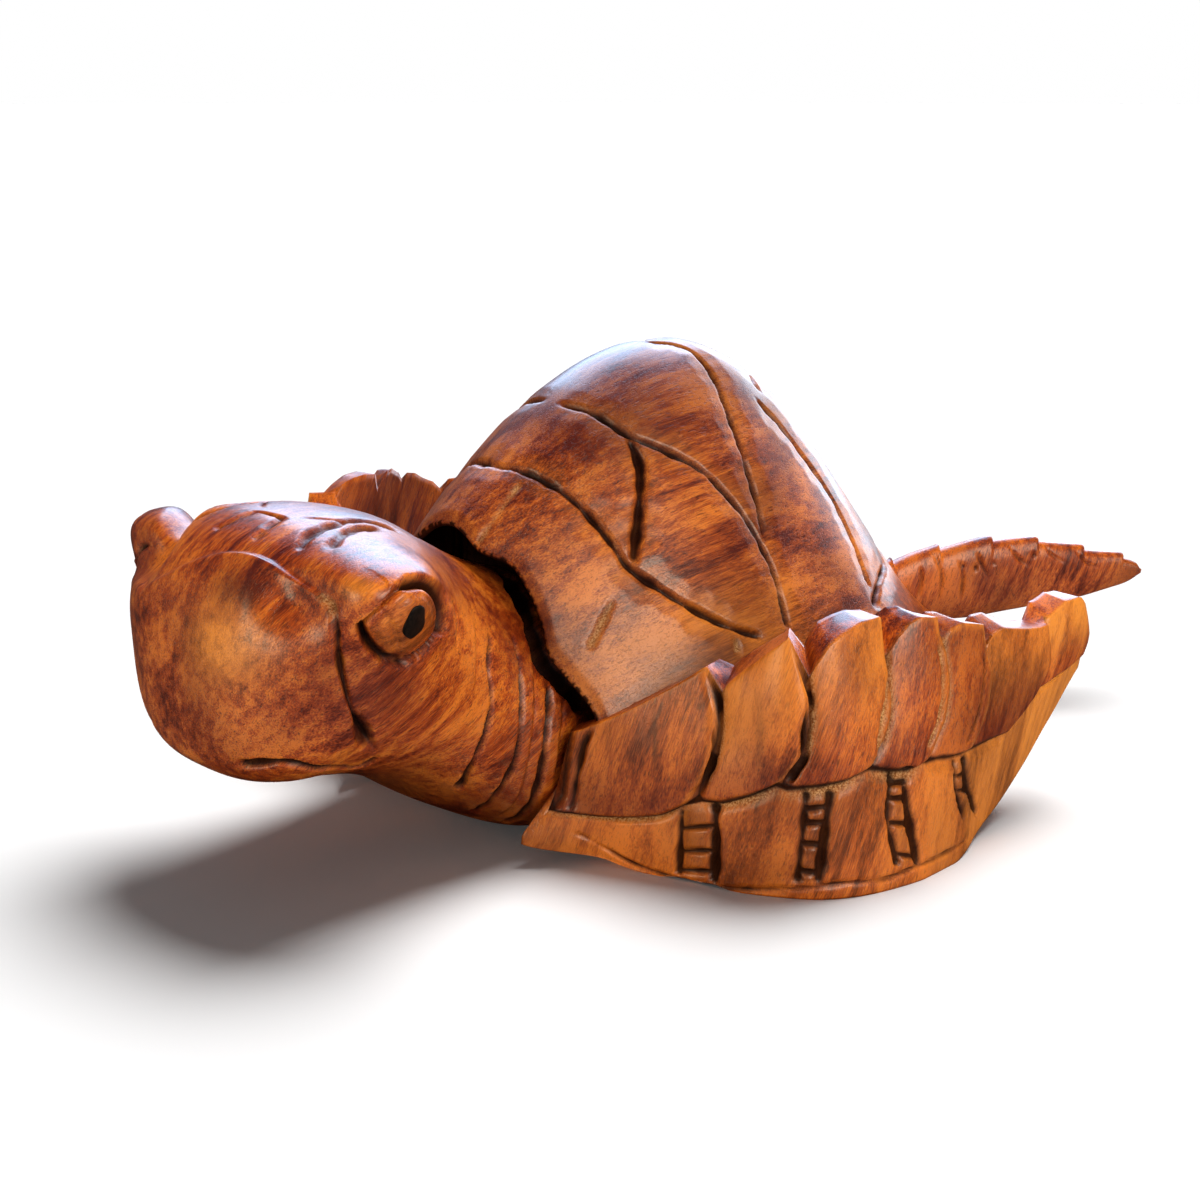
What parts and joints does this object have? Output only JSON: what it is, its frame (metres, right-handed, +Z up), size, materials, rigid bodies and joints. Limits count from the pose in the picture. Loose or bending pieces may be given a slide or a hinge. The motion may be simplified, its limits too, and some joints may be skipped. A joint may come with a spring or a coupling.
{
  "type": "turtle figurine",
  "caption": "Carved hardwood sea turtle with a domed shell, feather-scaled front flippers, swept hind flippers and a blunt beaked head; stands on a flat belly.",
  "frame": {"origin": "bottom centre of the turtle's box, on the surface that it stands on", "axes": "-Y is the way the turtle looks, +X is its left side, +Z is up"},
  "size_m": [0.174, 0.239, 0.0928],
  "materials": {
    "carved_hardwood": "stained and lacquered, satin to gloss",
    "ebony_pupil": "polished black",
    "dowel_beech": "plain turned wood"
  },
  "bodies": {
    "root": {"carapace": "carved_hardwood", "body": "carved_hardwood", "head": "carved_hardwood", "pupil_left": "ebony_pupil", "pupil_right": "ebony_pupil", "front_flipper_left": "carved_hardwood", "front_flipper_right": "carved_hardwood", "hind_flipper_left": "carved_hardwood", "hind_flipper_right": "carved_hardwood", "neck_dowels": "dowel_beech", "front_flipper_dowels": "dowel_beech", "hind_flipper_dowels": "dowel_beech", "shell_dowels": "dowel_beech"}
  },
  "joints": []
}
